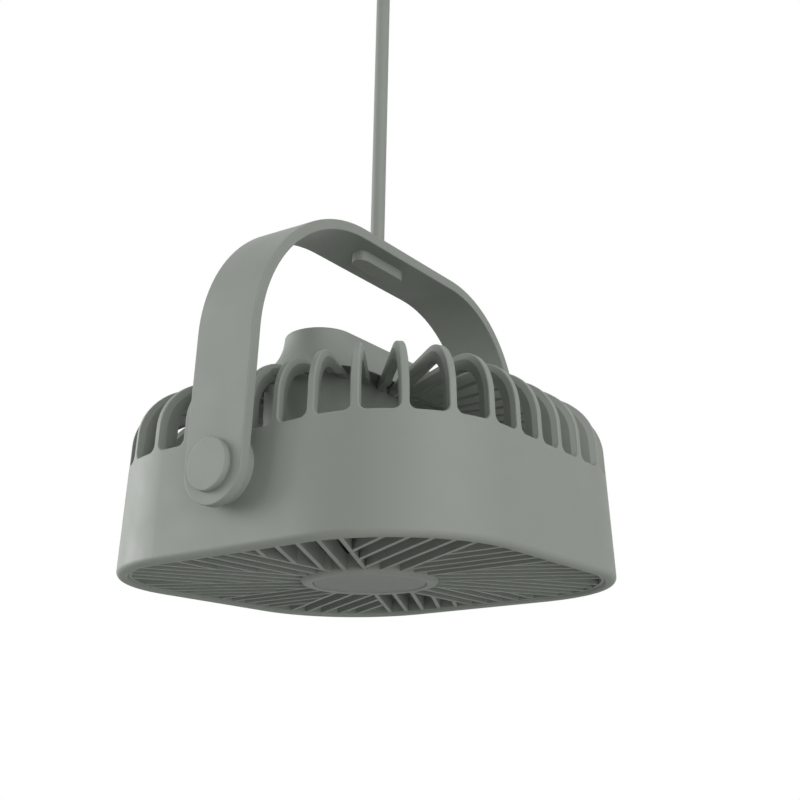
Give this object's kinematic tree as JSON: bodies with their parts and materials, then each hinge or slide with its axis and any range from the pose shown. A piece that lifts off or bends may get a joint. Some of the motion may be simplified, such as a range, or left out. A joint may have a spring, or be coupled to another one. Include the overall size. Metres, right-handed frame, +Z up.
{
  "type": "hanging camping fan",
  "caption": "Rounded-square portable fan hung face down from a cord, with a ribbed crown, pinwheel front grille, rear pod and tilting strap bail.",
  "frame": {"origin": "centre of the front rim, which faces down, at the bottom of the fan", "axes": "+Z up from the front grille to the bail and the cord, X along the bail's pivot axis"},
  "size_m": [0.177, 0.1654, 0.3],
  "materials": {
    "shell_plastic": "fine matte sage green",
    "cap_plastic": "matte, slightly warmer than the shell",
    "cord_plastic": "smooth matte jacket",
    "black_plastic": "moulded",
    "steel": "plated",
    "lamination": "dull",
    "copper": "enamelled wire",
    "bronze": "sintered",
    "board": "solder mask",
    "cell_wrap": "heat-shrink",
    "lens": "diffusing"
  },
  "bodies": {
    "hanger": {"bail": "shell_plastic", "pivot_caps": "shell_plastic", "toggle": "shell_plastic", "hanging_cord": "cord_plastic", "cord_eyelet": "cord_plastic"},
    "fan_body": {"casing": "shell_plastic", "front_grille": "shell_plastic", "grille_cap": "cap_plastic", "rear_pod": "shell_plastic", "pod_screws": "steel", "circuit_board": "board", "board_screws": "steel", "button_switch": "black_plastic", "indicator_lens": "lens", "charging_socket": "steel", "battery_cell": "cell_wrap", "motor_base": "black_plastic", "motor_screws": "steel", "front_bearing": "bronze", "rear_bearing": "bronze", "stator_core": "lamination", "stator_coils": "copper", "pivot_screws": "steel", "friction_washers": "black_plastic"},
    "rotor": {"impeller": "shell_plastic", "rotor_cup": "steel", "magnet_ring": "lamination", "motor_shaft": "steel", "shaft_clip": "steel"},
    "button": {"power_button": "shell_plastic"}
  },
  "joints": [
    {"name": "tilt", "type": "hinge", "parent": "hanger", "child": "fan_body", "pos_m": [0, 0, 0.0285], "axis": [1, 0, 0], "range_deg": [-86.75, 93.25]},
    {"name": "spin", "type": "hinge", "parent": "fan_body", "child": "rotor", "pos_m": [0, 0, 0], "axis": [0, 0, 1], "continuous": true},
    {"name": "button_press", "type": "slide", "parent": "fan_body", "child": "button", "axis": [0, 0, -1], "range_m": [0, 0.0008], "stiffness_N_per_m": 400}
  ]
}
